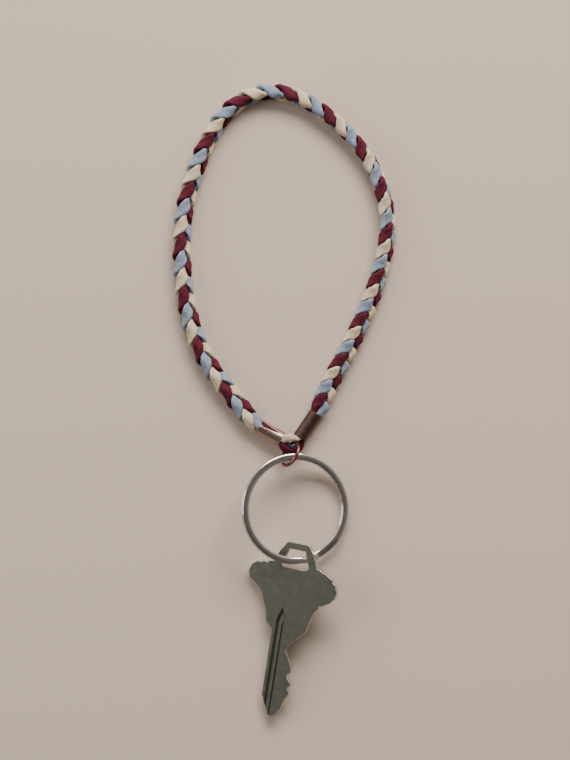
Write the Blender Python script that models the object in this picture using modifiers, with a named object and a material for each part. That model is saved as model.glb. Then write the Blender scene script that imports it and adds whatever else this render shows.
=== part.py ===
"""Wristlet keychain: three laces plaited into a wrist loop, two crimp tubes, a jump ring,
a split ring and a house key, lying on a table at z = 0.

World frame: metres, +Z up, origin on the table under the middle of the whole keychain.
The wrist loop points along +Y and the key along -Y. The sizes below are in millimetres
and degrees.
"""
import math

import bmesh
import bpy
from mathutils import Matrix, Vector

MM = 0.001
UP = Vector((0, 0, 1))
GAP = 0.3                      # clearance kept between solids that would touch

# Laces: colour, and how far behind the cream lace each one runs in the plait
LACE_LAG = {"cream_lace": 0.0, "blue_lace": 120.0, "burgundy_lace": 240.0}
LACE_COLOUR = {"cream_lace": (0.62, 0.50, 0.36), "blue_lace": (0.28, 0.36, 0.50),
               "burgundy_lace": (0.12, 0.012, 0.03)}
LACE_RADIUS = 0.72             # a soft flat lace, squeezed round by the plait
LACE_RADIUS_IN_TUBE = 0.68

# Plaited loop
PLAIT_HALF_WIDTH = 1.80        # sideways swing of a lace's middle
PLAIT_HALF_DEPTH = 1.30        # over-and-under swing of a lace's middle
# Full cycles of the plait, and the distance from the left tube at which they are complete:
# it is tighter towards the right tube
PLAIT_AT = [(0.0, 2.6), (2.667, 47.3), (7.667, 132.0), (12.667, 206.0), (15.667, 249.6)]
POINTS_PER_TURN = 9
GATHER = 3.0                   # length over which the plait gathers into a tube
# The plait's middle line on the table, clockwise from the left tube to the right tube
ROUTE = [(-7.9, -8.4), (-12.0, -4.2), (-17.0, 2.2), (-23.3, 10.5), (-28.3, 20.8),
         (-31.2, 32.0), (-32.4, 44.0), (-32.3, 54.5), (-31.1, 63.4), (-28.4, 72.5),
         (-24.6, 82.0), (-19.9, 89.8), (-13.1, 95.8), (-4.6, 98.3), (5.3, 96.3),
         (14.8, 90.2), (22.7, 82.7), (28.0, 74.9), (31.5, 66.1), (33.0, 56.3),
         (31.9, 46.6), (28.8, 35.5), (24.2, 24.2), (19.7, 15.0), (14.9, 6.0), (10.2, -4.3)]
# Roll of the plait's flat side, at fractions of the way round
ROLL_AT = [(0.0, 30.0), (0.25, 45.0), (0.45, 65.0), (0.62, 90.0), (0.80, 125.0), (1.0, 150.0)]

# Crimp tubes: outer end and mouth of each, and the turn of the laces between them
TUBE_RADIUS = 2.35
TUBE_WALL = 0.35
TUBE_STEPS = 20
LACES_TO_AXIS = 0.98
LEFT_TUBE = (Vector((-7.9, -8.4, 2.45)), Vector((-0.7, -12.5, 2.95)))
RIGHT_TUBE = (Vector((10.2, -4.3, 2.45)), Vector((4.95, -12.08, 2.95)))
LEFT_TUBE_TURN = [(0.0, -30.0), (0.17, -85.0), (0.62, -145.0), (1.0, -250.0)]
RIGHT_TUBE_TURN = [(0.0, -90.0), (1.0, -250.0)]
GATHER_TURN = 60.0             # extra turn of the laces as they leave the left tube
# Each tube is a sheet folded round the laces: where its edges meet, from the side away from
# the table's middle over the top, and how far apart they are at the outer end
TUBE_SLIT_AT = {"left_crimp_tube": 125.0, "right_crimp_tube": -75.0}
TUBE_SLIT_WIDTH = 2.2
TUBE_SLIT_END = 0.86           # share of the tube at which the edges have come together

# The bare laces between the tubes, from the right tube's mouth to the left one's
BRIDGE = {
    "cream_lace": [(4.1, -12.3, 4.9), (3.2, -12.0, 5.4), (1.9, -11.9, 5.5), (0.8, -12.1, 5.0)],
    "blue_lace": [(3.9, -13.0, 2.0), (3.9, -14.3, 2.6), (3.5, -15.0, 3.6), (2.7, -14.9, 4.2),
                  (1.7, -14.3, 4.2), (0.6, -13.2, 3.2)],
    "burgundy_lace": [(5.5, -14.1, 2.5), (4.4, -15.7, 2.0), (3.0, -16.2, 2.3),
                      (1.6, -15.8, 3.1), (0.4, -15.1, 3.3), (-0.5, -14.3, 3.1)],
}

# Jump ring
JUMP_OUTER = 9.0
JUMP_WIRE = 1.0
JUMP_CENTRE = Vector((2.0, -17.1, 5.2))
JUMP_HEADING = -109.8          # direction of its long diameter towards the split ring, from +X
JUMP_RISE = 15.0               # rise of that diameter towards the split ring
JUMP_LEAN = 31.0               # lean of its plane away from upright
JUMP_SPLIT = 0.3               # gap where the wire's two ends meet
JUMP_STEPS = 40

# Split ring
RING_OUTER = 35.5
RING_BAND = 2.3                # width of the flat wire, towards the ring's middle
RING_COIL = 1.05               # thickness of one coil
RING_PITCH = 1.25              # spacing of the two coils
RING_CENTRE = Vector((3.6, -34.6, 6.35))
RING_TILT = 17.0               # left side up
RING_PIVOT_AT = 94.5           # where it hangs on the jump ring, from +X
RING_STEP_AT = -47.0           # where the wire steps from one coil to the other, from +X
RING_STEP_HALF = 15.0          # half the angle that the step takes
RING_END_GAP = 3.0             # angle between the step and each end of the wire
RING_STEPS_PER_TURN = 48
RING_CORNER = 0.25

# Key
KEY_THICKNESS = 2.0
KEY_HEADING = 9.0              # lean of its length away from +Y, top to the right
KEY_ROLL = 19.0                # right side up
KEY_PITCH = 4.2                # bow end up
KEY_PIVOT_FROM_TIP = 50.4
KEY_PIVOT_AT = -88.0           # where the key hangs on the split ring, from +X
KEY_PIVOT_INSET = 0.45         # its axis is a chord of the ring, inside the wire's middle line
KEY_PIVOT_RISE = 0.15          # height of that axis over the wire's middle
KEY_RISE = 0.1                 # height of the key's middle plane over its axis
KEY_EDGE = 0.15
GROOVE_DEPTH = 0.55


def clear_scene():
    for thing in list(bpy.data.objects):
        bpy.data.objects.remove(thing, do_unlink=True)


def new_collection(name):
    collection = bpy.data.collections.new(name)
    bpy.context.scene.collection.children.link(collection)
    return collection


def material(name, colour, roughness, metallic):
    made = bpy.data.materials.new(name)
    made.use_nodes = True
    shader = made.node_tree.nodes["Principled BSDF"]
    shader.inputs["Base Color"].default_value = (*colour, 1.0)
    shader.inputs["Roughness"].default_value = roughness
    shader.inputs["Metallic"].default_value = metallic
    made.diffuse_color = (*colour, 1.0)
    return made


def add_pivot(name, collection, location):
    pivot = bpy.data.objects.new(name, None)
    pivot.location = location * MM
    pivot.empty_display_size = 5 * MM
    collection.objects.link(pivot)
    return pivot


# ---------------------------------------------------------------- curves and lines

def smooth_line(points, before, after, steps=24):
    """Catmull-Rom curve through the points; before and after set its end directions."""
    knots = [before, *points, after]
    line = []
    for p0, p1, p2, p3 in zip(knots, knots[1:], knots[2:], knots[3:]):
        for step in range(steps):
            t = step / steps
            line.append(0.5 * (2 * p1 + (p2 - p0) * t + (2 * p0 - 5 * p1 + 4 * p2 - p3) * t ** 2
                               + (3 * p1 - p0 - 3 * p2 + p3) * t ** 3))
    line.append(points[-1].copy())
    return line


class Line:
    """A dense polyline, read by the distance along it."""

    def __init__(self, points):
        self.points = points
        self.along = [0.0]
        for start, stop in zip(points, points[1:]):
            self.along.append(self.along[-1] + (stop - start).length)
        self.length = self.along[-1]

    def at(self, distance):
        distance = min(max(distance, 0.0), self.length)
        index = 1
        while self.along[index] < distance and index < len(self.points) - 1:
            index += 1
        share = (distance - self.along[index - 1]) / (self.along[index] - self.along[index - 1])
        return self.points[index - 1].lerp(self.points[index], share)

    def heading(self, distance):
        reach = 0.4
        return (self.at(distance + reach) - self.at(distance - reach)).normalized()


def read_table(table, x):
    for (x0, y0), (x1, y1) in zip(table, table[1:]):
        if x <= x1:
            break
    return y0 + (y1 - y0) * min(max((x - x0) / (x1 - x0), 0.0), 1.0)


def smoothstep(x):
    x = min(max(x, 0.0), 1.0)
    return x * x * (3 - 2 * x)


def poly_curve(name, points, radii=None, closed=False):
    data = bpy.data.curves.new(name, "CURVE")
    data.dimensions = "3D"
    spline = data.splines.new("POLY")
    spline.points.add(len(points) - 1)
    for index, point in enumerate(points):
        spline.points[index].co = (*(point * MM), 1.0)
        if radii:
            spline.points[index].radius = radii[index]
    spline.use_cyclic_u = closed
    return data


def meshed(curve):
    """The same shape as a closed mesh object; the curve is removed."""
    name = curve.name
    data = curve.data
    bpy.context.scene.collection.objects.link(curve)
    evaluated = curve.evaluated_get(bpy.context.evaluated_depsgraph_get())
    mesh = bpy.data.meshes.new_from_object(evaluated)
    bpy.data.objects.remove(curve)
    bpy.data.curves.remove(data)
    shape = bmesh.new()
    shape.from_mesh(mesh)
    bmesh.ops.remove_doubles(shape, verts=shape.verts, dist=0.00001)
    bmesh.ops.recalc_face_normals(shape, faces=shape.faces)
    shape.to_mesh(mesh)
    shape.free()
    return bpy.data.objects.new(name, mesh)


def flat_outline(name, loops, thickness, bevel=0.0):
    """A plate: closed outlines filled and given a thickness, as a closed mesh object."""
    data = bpy.data.curves.new(name, "CURVE")
    data.dimensions = "2D"
    data.fill_mode = "BOTH"
    data.extrude = (0.5 * thickness - bevel) * MM
    data.bevel_depth = bevel * MM
    data.bevel_resolution = 0
    data.offset = -bevel * MM
    for loop in loops:
        spline = data.splines.new("POLY")
        spline.points.add(len(loop) - 1)
        for index, (x, y) in enumerate(loop):
            spline.points[index].co = (x * MM, y * MM, 0, 1)
        spline.use_cyclic_u = True
    return meshed(bpy.data.objects.new(name, data))


# ---------------------------------------------------------------- laces

def plait_offset(turn, half_width, half_depth, roll, outward):
    """Offset of one lace from the plait's middle line; turn is its place in the cycle."""
    wide = math.cos(roll) * outward + math.sin(roll) * UP
    deep = math.sin(roll) * outward - math.cos(roll) * UP
    return half_width * math.sin(turn) * wide + half_depth * math.sin(2 * turn) * deep


def rest_height(half_width, half_depth, roll, radius):
    """Height of the middle line at which the plait rests on the table."""
    drops = [-plait_offset(math.radians(angle), half_width, half_depth, roll, Vector((1, 0, 0))).z
             for angle in range(0, 360, 10)]
    return radius + max(drops)


def plait_path(lag):
    """Points and radii of one lace from the left tube's outer end to the right one's."""
    start = LEFT_TUBE[0]
    flat = [Vector((x, y, 0)) for x, y in ROUTE]
    route = Line(smooth_line(flat, flat[0] + (LEFT_TUBE[1] - start) * Vector((1, 1, 0)),
                             flat[-1] + (RIGHT_TUBE[1] - RIGHT_TUBE[0]) * Vector((1, 1, 0))))
    all_turns = PLAIT_AT[-1][0]
    count = round(all_turns * POINTS_PER_TURN)
    stops = [(0.0, 0.0), (0.5 * GATHER, 0.0)]
    for index in range(count + 1):
        turns = all_turns * index / count
        stops.append((read_table(PLAIT_AT, turns), turns))
    stops += [(route.length - 0.5 * GATHER, all_turns), (route.length, all_turns)]
    points = []
    for distance, turns in stops:
        full = smoothstep(min(distance, route.length - distance) / GATHER)
        half_width = LACES_TO_AXIS + (PLAIT_HALF_WIDTH - LACES_TO_AXIS) * full
        half_depth = LACES_TO_AXIS + (PLAIT_HALF_DEPTH - LACES_TO_AXIS) * full
        radius = LACE_RADIUS_IN_TUBE + (LACE_RADIUS - LACE_RADIUS_IN_TUBE) * full
        roll = math.radians(read_table(ROLL_AT, distance / route.length))
        height = start.z + (rest_height(half_width, half_depth, roll, radius) - start.z) * full
        outward = UP.cross(route.heading(distance))
        turn = math.radians(90 - lag) + math.tau * turns
        early = math.radians(GATHER_TURN) * (1 - smoothstep(distance / GATHER))
        offset = plait_offset(turn, half_width, half_depth, roll - early, outward)
        points.append((route.at(distance) + height * UP + offset, radius))
    return points


def tube_path(tube, turn, lag, shares, travel):
    """Points and radii of one lace inside a tube, at these shares of outer end to mouth."""
    outer, mouth = tube
    heading = (mouth - outer).normalized() * travel
    side = UP.cross(heading).normalized()
    above = heading.cross(side)
    points = []
    for share in shares:
        angle = math.radians(read_table(turn, share) + lag)
        offset = LACES_TO_AXIS * (math.cos(angle) * side + math.sin(angle) * above)
        points.append((outer.lerp(mouth, share) + offset, LACE_RADIUS_IN_TUBE))
    return points


def lace_path(name):
    """One lace: half the right tube, the bridge, the left tube, the plait, back inside."""
    lag = LACE_LAG[name]
    half_gap = 0.5 * GAP / (RIGHT_TUBE[1] - RIGHT_TUBE[0]).length
    leaving = tube_path(RIGHT_TUBE, RIGHT_TUBE_TURN, lag, [0.5 + half_gap, 0.66, 0.83, 1.0], 1)
    entering = tube_path(LEFT_TUBE, LEFT_TUBE_TURN, lag,
                         [1.0, 0.87, 0.74, 0.61, 0.46, 0.31, 0.17, 0.08], -1)
    knots = [leaving[-1][0], *[Vector(knot) for knot in BRIDGE[name]], entering[0][0]]
    bridge = smooth_line(knots, leaving[-2][0], entering[1][0], steps=3)[1:-1]
    arriving = tube_path(RIGHT_TUBE, RIGHT_TUBE_TURN, lag, [0.17, 0.34, 0.5 - half_gap], 1)
    return (leaving + [(point, LACE_RADIUS_IN_TUBE) for point in bridge] + entering
            + plait_path(lag) + arriving)


def add_laces(collection):
    for name in LACE_LAG:
        path = lace_path(name)
        data = poly_curve(name, [point for point, _ in path],
                          [radius / LACE_RADIUS for _, radius in path])
        data.bevel_depth = LACE_RADIUS * MM
        data.bevel_resolution = 1
        data.use_fill_caps = True
        data.materials.append(material(name, LACE_COLOUR[name], 0.85, 0.0))
        collection.objects.link(bpy.data.objects.new(name, data))


# ---------------------------------------------------------------- crimp tubes

def tube_axes(tube):
    """Side, above and outwards: the directions that a tube's angles are measured from."""
    outer, mouth = tube
    outwards = (outer - mouth).normalized()
    side = UP.cross(outwards).normalized()
    return side, outwards.cross(side), outwards


def tube_profile(half):
    """Section of the wall: down its outer side, round the lips and up its bore."""
    bore = TUBE_RADIUS - TUBE_WALL
    lip = 0.3 * TUBE_WALL
    return [(bore + lip, half), (TUBE_RADIUS - lip, half), (TUBE_RADIUS, half - lip),
            (TUBE_RADIUS, lip - half), (TUBE_RADIUS - lip, -half), (bore + lip, -half),
            (bore, lip - half), (bore, half - lip)]


def add_crimp_tube(collection, guides, name, tube, colour):
    """A turned tube with a tapering slit, whose direction is the object's own X axis."""
    outer, mouth = tube
    length = (mouth - outer).length
    mesh = bpy.data.meshes.new(name)
    shape = bmesh.new()
    ring = [shape.verts.new((x * MM, 0, z * MM)) for x, z in tube_profile(0.5 * length)]
    for index, corner in enumerate(ring):
        shape.edges.new((corner, ring[(index + 1) % len(ring)]))
    shape.to_mesh(mesh)
    shape.free()
    mesh.materials.append(material(name, colour, 0.35, 1.0))
    made = bpy.data.objects.new(name, mesh)
    made.location = 0.5 * (outer + mouth) * MM
    side, above, outwards = tube_axes(tube)
    angle = math.radians(TUBE_SLIT_AT[name])
    towards = math.cos(angle) * side + math.sin(angle) * above
    axes = Matrix((towards, outwards.cross(towards), outwards)).transposed()
    made.rotation_euler = axes.to_euler()
    screw = made.modifiers.new("turn", "SCREW")
    screw.steps = TUBE_STEPS
    screw.render_steps = TUBE_STEPS
    screw.use_merge_vertices = True
    screw.merge_threshold = 0.00001
    beyond = 0.5 * length + 1.0
    tip = (0.5 - TUBE_SLIT_END) * length
    half = 0.5 * TUBE_SLIT_WIDTH * (beyond - tip) / (0.5 * length - tip)
    cutter = flat_outline(name + "_slit", [[(-half, beyond), (0, tip), (half, beyond)]],
                          0.7 * TUBE_RADIUS)
    cutter.rotation_euler = Matrix(((0, 0, 1), (1, 0, 0), (0, 1, 0))).to_euler()
    cutter.location.x = TUBE_RADIUS * MM
    cutter.parent = made
    cutter.hide_render = True
    cutter.display_type = "WIRE"
    guides.objects.link(cutter)
    cut = made.modifiers.new("slit", "BOOLEAN")
    cut.operation = "DIFFERENCE"
    cut.object = cutter
    collection.objects.link(made)
    return made


# ---------------------------------------------------------------- rings

def jump_axes():
    """Long diameter, leaning diameter and axis of the jump ring."""
    heading = math.radians(JUMP_HEADING)
    level = Vector((math.cos(heading), math.sin(heading), 0))
    rise = math.radians(JUMP_RISE)
    long = math.cos(rise) * level + math.sin(rise) * UP
    side = UP.cross(level)
    lean = math.radians(JUMP_LEAN)
    leaning = math.sin(lean) * side + math.cos(lean) * long.cross(side)
    return long, leaning, long.cross(leaning)


def add_jump_ring(collection):
    radius = 0.5 * (JUMP_OUTER - JUMP_WIRE)
    half_gap = 0.5 * JUMP_SPLIT / radius
    angles = [half_gap + (math.tau - 2 * half_gap) * step / JUMP_STEPS
              for step in range(JUMP_STEPS + 1)]
    data = poly_curve("jump_ring", [Vector((math.cos(a), math.sin(a), 0)) * radius
                                    for a in angles])
    data.bevel_depth = 0.5 * JUMP_WIRE * MM
    data.bevel_resolution = 2
    data.use_fill_caps = True
    data.materials.append(material("jump_ring", (0.50, 0.22, 0.15), 0.3, 1.0))
    made = bpy.data.objects.new("jump_ring", data)
    made.location = JUMP_CENTRE * MM
    made.rotation_euler = Matrix(jump_axes()).transposed().to_euler()
    collection.objects.link(made)
    return made


def ring_matrix():
    return Matrix.Rotation(math.radians(RING_TILT), 3, "Y")


def ring_point(angle, inward=0.0):
    """Point on the middle of the split ring's wire pair, or further in, in the world."""
    radius = 0.5 * (RING_OUTER - RING_BAND) - inward
    angle = math.radians(angle)
    return RING_CENTRE + ring_matrix() @ Vector((math.cos(angle), math.sin(angle), 0)) * radius


def ring_profile(guides):
    """Section of the flat wire, with its corners taken off."""
    x = 0.5 * RING_BAND
    y = 0.5 * RING_COIL
    c = RING_CORNER
    corners = [(x, y - c), (x - c, y), (c - x, y), (-x, y - c), (-x, c - y), (c - x, -y),
               (x - c, -y), (x, c - y)]
    data = poly_curve("ring_wire_section", [Vector((a, b, 0)) for a, b in corners], closed=True)
    section = bpy.data.objects.new("ring_wire_section", data)
    section.hide_render = True
    section.display_type = "WIRE"
    guides.objects.link(section)
    return section


def add_split_ring(collection, guides, pivot, pivot_at):
    """A flat wire that goes round twice and steps from the lower coil to the upper one."""
    radius = 0.5 * (RING_OUTER - RING_BAND)
    first = RING_STEP_HALF + RING_END_GAP
    last = 720.0 - first
    count = 2 * RING_STEPS_PER_TURN
    points = []
    for index in range(count + 1):
        turned = first + (last - first) * index / count
        rise = smoothstep((turned - (360.0 - RING_STEP_HALF)) / (2 * RING_STEP_HALF)) - 0.5
        angle = math.radians(turned + RING_STEP_AT)
        points.append(Vector((math.cos(angle) * radius, math.sin(angle) * radius,
                              RING_PITCH * rise)))
    data = poly_curve("split_ring", points)
    data.twist_mode = "Z_UP"
    data.bevel_mode = "OBJECT"
    data.bevel_object = ring_profile(guides)
    data.use_fill_caps = True
    data.materials.append(material("split_ring", (0.45, 0.43, 0.40), 0.25, 1.0))
    made = meshed(bpy.data.objects.new("split_ring", data))
    made.parent = pivot
    made.location = (RING_CENTRE - pivot_at) * MM
    made.rotation_euler = ring_matrix().to_euler()
    collection.objects.link(made)
    return made


# ---------------------------------------------------------------- key

# Outline of the key, from the tip up the left side and down the right side: distance to the
# right of its middle line, and distance from the tip
KEY_LEFT = [(-1.2, -0.5), (-3.6, 4.4), (-4.4, 6.0), (-4.5, 27.0), (-6.9, 29.4), (-7.4, 32.7),
            (-9.1, 36.4), (-9.8, 38.3), (-12.3, 40.8), (-13.8, 41.7), (-14.7, 42.8),
            (-15.1, 44.1), (-14.6, 46.0), (-13.4, 47.2), (-11.4, 47.6), (-9.4, 47.9),
            (-7.4, 48.6), (-5.9, 52.2), (-3.7, 55.6)]
KEY_RIGHT = [(3.7, 55.6), (5.9, 52.2), (7.4, 48.6), (9.4, 47.8), (12.0, 46.7), (14.1, 44.5),
             (15.1, 42.5), (14.6, 40.2), (12.3, 38.2), (9.9, 37.2), (8.8, 35.2), (7.7, 32.1),
             (6.8, 28.3), (4.4, 25.6), (2.4, 23.4), (1.3, 22.2), (1.3, 20.9), (2.4, 19.2),
             (4.0, 16.0), (4.0, 14.6), (2.9, 13.6), (2.9, 12.8), (4.5, 11.2), (4.6, 10.4),
             (3.6, 9.3), (4.4, 8.3), (4.4, 7.5), (3.2, 5.3), (2.4, 2.4), (0.6, -0.1)]
KEY_HOLE = [(-2.7, 53.5), (2.7, 53.5), (4.6, 48.4), (4.0, 47.5), (-4.0, 47.5), (-4.6, 48.4)]
# Groove milled along the blade: from beyond the tip to its point on the bow
GROOVE = [(-3.3, -2.0), (-0.7, -2.0), (-0.7, 31.6), (-2.0, 34.5), (-3.3, 31.6)]


def from_pivot(loops):
    """The key's outlines, measured from its pivot and not from its tip."""
    return [[(x, y - KEY_PIVOT_FROM_TIP) for x, y in loop] for loop in loops]


def add_key(collection, guides, pivot):
    key = flat_outline("key", from_pivot([KEY_LEFT + KEY_RIGHT, KEY_HOLE]), KEY_THICKNESS,
                       KEY_EDGE)
    key.data.materials.append(material("key", (0.30, 0.28, 0.22), 0.35, 1.0))
    groove = flat_outline("key_groove_cutter", from_pivot([GROOVE]), 2 * GROOVE_DEPTH)
    groove.location.z = 0.5 * KEY_THICKNESS * MM
    groove.hide_render = True
    groove.display_type = "WIRE"
    guides.objects.link(groove)
    groove.parent = key
    cut = key.modifiers.new("groove", "BOOLEAN")
    cut.operation = "DIFFERENCE"
    cut.object = groove
    key.parent = pivot
    key.location.z = KEY_RISE * MM
    key.rotation_euler = (Matrix.Rotation(math.radians(-KEY_HEADING), 3, "Z")
                          @ Matrix.Rotation(math.radians(KEY_PITCH), 3, "X")
                          @ Matrix.Rotation(math.radians(-KEY_ROLL), 3, "Y")).to_euler()
    collection.objects.link(key)
    return key


def main():
    clear_scene()
    parts = new_collection("wristlet_keychain")
    guides = new_collection("guides_and_cutters")
    add_laces(parts)
    add_crimp_tube(parts, guides, "left_crimp_tube", LEFT_TUBE, (0.42, 0.16, 0.12))
    add_crimp_tube(parts, guides, "right_crimp_tube", RIGHT_TUBE, (0.20, 0.09, 0.07))
    add_jump_ring(parts)
    ring_pivot_at = ring_point(RING_PIVOT_AT)
    ring_pivot = add_pivot("split_ring_pivot", parts, ring_pivot_at)
    add_split_ring(parts, guides, ring_pivot, ring_pivot_at)
    key_pivot_at = ring_point(KEY_PIVOT_AT, KEY_PIVOT_INSET) + KEY_PIVOT_RISE * UP
    key_pivot = add_pivot("key_pivot", parts, key_pivot_at)
    add_key(parts, guides, key_pivot)


main()
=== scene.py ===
"""Looks of the wristlet keychain: three plaited suede laces, two folded crimp tubes, a jump
ring, a split ring and a house key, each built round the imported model.

Lengths are in millimetres, and MM turns them into the frame's metres.
"""
import math
from collections import namedtuple

import bmesh
import bpy
from mathutils import Matrix, Vector, kdtree
from mathutils.bvhtree import BVHTree


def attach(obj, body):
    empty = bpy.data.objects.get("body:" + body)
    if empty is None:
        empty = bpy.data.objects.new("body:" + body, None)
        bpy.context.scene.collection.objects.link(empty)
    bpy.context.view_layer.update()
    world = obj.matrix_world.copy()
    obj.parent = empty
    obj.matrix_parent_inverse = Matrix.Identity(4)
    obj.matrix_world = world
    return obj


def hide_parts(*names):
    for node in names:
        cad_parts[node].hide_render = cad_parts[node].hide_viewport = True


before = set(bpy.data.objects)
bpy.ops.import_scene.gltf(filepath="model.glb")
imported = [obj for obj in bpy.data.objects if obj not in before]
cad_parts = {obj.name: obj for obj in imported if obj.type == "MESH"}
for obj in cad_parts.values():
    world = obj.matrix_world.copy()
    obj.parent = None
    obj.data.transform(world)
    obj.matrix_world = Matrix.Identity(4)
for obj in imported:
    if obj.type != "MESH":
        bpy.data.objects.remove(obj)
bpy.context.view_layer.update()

MM = 0.001
UP = Vector((0, 0, 1))

# ---------------------------------------------------------------- the laces' route
# These points and numbers are the ones that the CAD model's own laces follow.

# How far behind the cream lace each one runs in the plait's cycle, in degrees
LACE_LAG = {"cream_lace": 0.0, "blue_lace": 120.0, "burgundy_lace": 240.0}
LACES_TO_AXIS = 0.98           # from a lace's middle to the axis, where the laces are gathered
PLAIT_HALF_WIDTH = 1.80
PLAIT_HALF_DEPTH = 1.30
# How many turns of its cycle the plait has made, and the distance along the route where it has
PLAIT_AT = [(0.0, 2.6), (2.667, 47.3), (7.667, 132.0), (12.667, 206.0), (15.667, 249.6)]
POINTS_PER_TURN = 60
STRAIGHT_STEPS = 10            # points on each unplaited length beside a tube
GATHER = 3.0                   # length over which the plait opens out from a tube
GATHER_TURN = 60.0             # extra turn of the laces as they leave the left tube
LACE_RADIUS = 0.72
FACE_LEAN = 144.0              # how far a lace's face leans to each side, in degrees
FACE_SWING = 0.98              # how sharply it turns back there, where 1 is a corner
# The plait's middle line on the table, from the left tube round to the right one
ROUTE = [(-7.9, -8.4), (-12.0, -4.2), (-17.0, 2.2), (-23.3, 10.5), (-28.3, 20.8),
         (-31.2, 32.0), (-32.4, 44.0), (-32.3, 54.5), (-31.1, 63.4), (-28.4, 72.5),
         (-24.6, 82.0), (-19.9, 89.8), (-13.1, 95.8), (-4.6, 98.3), (5.3, 96.3),
         (14.8, 90.2), (22.7, 82.7), (28.0, 74.9), (31.5, 66.1), (33.0, 56.3),
         (31.9, 46.6), (28.8, 35.5), (24.2, 24.2), (19.7, 15.0), (14.9, 6.0), (10.2, -4.3)]
# How far the plait is rolled about its own line, by the share of the route
ROLL_AT = [(0.0, 30.0), (0.25, 45.0), (0.45, 65.0), (0.62, 90.0), (0.80, 125.0), (1.0, 150.0)]
# Each tube's outer end and its mouth, and how the laces turn between the two
LEFT_TUBE = (Vector((-7.9, -8.4, 2.45)), Vector((-0.7, -12.5, 2.95)))
RIGHT_TUBE = (Vector((10.2, -4.3, 2.45)), Vector((4.95, -12.08, 2.95)))
TUBE_STEPS = 24
LEFT_TUBE_TURN = [(0.0, -30.0), (0.17, -85.0), (0.62, -145.0), (1.0, -250.0)]
RIGHT_TUBE_TURN = [(0.0, -90.0), (1.0, -250.0)]
# The bare laces between the tubes, from the right tube's mouth to the left one's
BRIDGE = {
    "cream_lace": [(4.1, -12.3, 4.9), (3.2, -12.0, 5.4), (1.9, -11.9, 5.5), (0.8, -12.1, 5.0)],
    "blue_lace": [(3.9, -13.0, 2.0), (3.9, -14.3, 2.6), (3.5, -15.0, 3.6), (2.7, -14.9, 4.2),
                  (1.7, -14.3, 4.2), (0.6, -13.2, 3.2)],
    "burgundy_lace": [(5.5, -14.1, 2.5), (4.4, -15.7, 2.0), (3.0, -16.2, 2.3),
                      (1.6, -15.8, 3.1), (0.4, -15.1, 3.3), (-0.5, -14.3, 3.1)],
}
END_GAP = 0.3                  # between a lace's two ends, in the middle of the right tube

# Section of a lace: half its width and half its thickness, where nothing is in its way
IN_PLAIT = (1.85, 0.86)
IN_TUBE = (1.35, 1.10)
IN_BRIDGE = {"cream_lace": (1.20, 0.95), "blue_lace": (0.62, 0.52),
             "burgundy_lace": (1.85, 1.25)}
LEAN_NECK = 0.36               # how much thinner a lace is just after the right tube
# Between the tubes: how much painted shade darkens each lace, and how well it keeps its room
BRIDGE_PAINTED_SHADE = {"cream_lace": 0.05, "blue_lace": 1.00, "burgundy_lace": 0.20}
FIRMNESS = {"cream_lace": 1.0, "blue_lace": 1.6, "burgundy_lace": 0.75}
# Direction that each lace's flat side faces between the tubes
BRIDGE_FACES = {"cream_lace": Vector((0.1, -0.1, 1.0)), "blue_lace": Vector((0.0, -0.7, 0.7)),
                "burgundy_lace": Vector((-0.2, -0.8, 0.6))}
RING_STEP = 0.30               # distance between a lace's sections
SIDES = 36
LACE_SQUARENESS = 2.4          # of a lace's section, where 2 is an ellipse
BETWEEN_LACES = 0.05
OFF_METAL = 0.13               # gap between a lace and any metal
NEAR_METAL = 3.0               # distance from a lace's middle at which metal is looked for
FROM_TUBE_SKIN = 0.2           # how far inside a tube's outer skin a lace has to stay
LEAST_REACH = 0.1              # of a lace's skin from its middle, beside metal
LEAST_HEIGHT = 0.02            # of a lace's skin over the table
OWN_BEND = 0.9                 # share of its reach that a section's end keeps off its own lace
HALVINGS = 6                   # steps of the search for a section's reach
PRESSED_GAIN = 3.0             # a lace is fully pressed, and its painted shade deepest, where it has lost a third of its reach

# ---------------------------------------------------------------- metal parts

CRISP = 50.0                   # turn of a metal surface, in degrees, that makes an edge of it
TUBE_RADIUS = 2.35
TUBE_WALL = 0.35
# Each tube's slit: the side that it opens to, in degrees from the level, its width at the outer
# end, the share of the tube at which it closes, and how fast its edges come together
TUBE_SLIT_AT = {"left_crimp_tube": 125.0, "right_crimp_tube": -75.0}
TUBE_SLIT_WIDTH = 2.2
TUBE_SLIT_END = 0.86
TUBE_SLIT_CURVE = 0.9
SEAM = 0.12                    # gap that is left where the slit's edges have come together
TUBE_COLUMNS = 72
TUBE_ROWS = 44
BITES_AT = (0.30, 0.68)        # shares of the tube at which the pliers have bitten
BITE_LENGTH = 0.10
BITE_DEPTH = 0.05
MARK_DEPTH = 0.020             # of the hammer marks
TUBE_EDGE = 0.09               # how far the sheet's edges are rounded

JUMP_OUTER = 9.0
JUMP_WIRE = 1.0
JUMP_CENTRE = Vector((2.0, -17.1, 5.2))
JUMP_HEADING = -109.8          # direction of its long diameter towards the split ring, from +X
JUMP_RISE = 15.0               # rise of that diameter towards the split ring
JUMP_LEAN = 31.0               # lean of its plane away from upright
JUMP_SPLIT = 0.3               # gap where the wire's two ends meet
JUMP_STEPS = 160
JUMP_SIDES = 24
JUMP_CHAMFER = 0.08            # of the wire's cut ends

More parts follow.
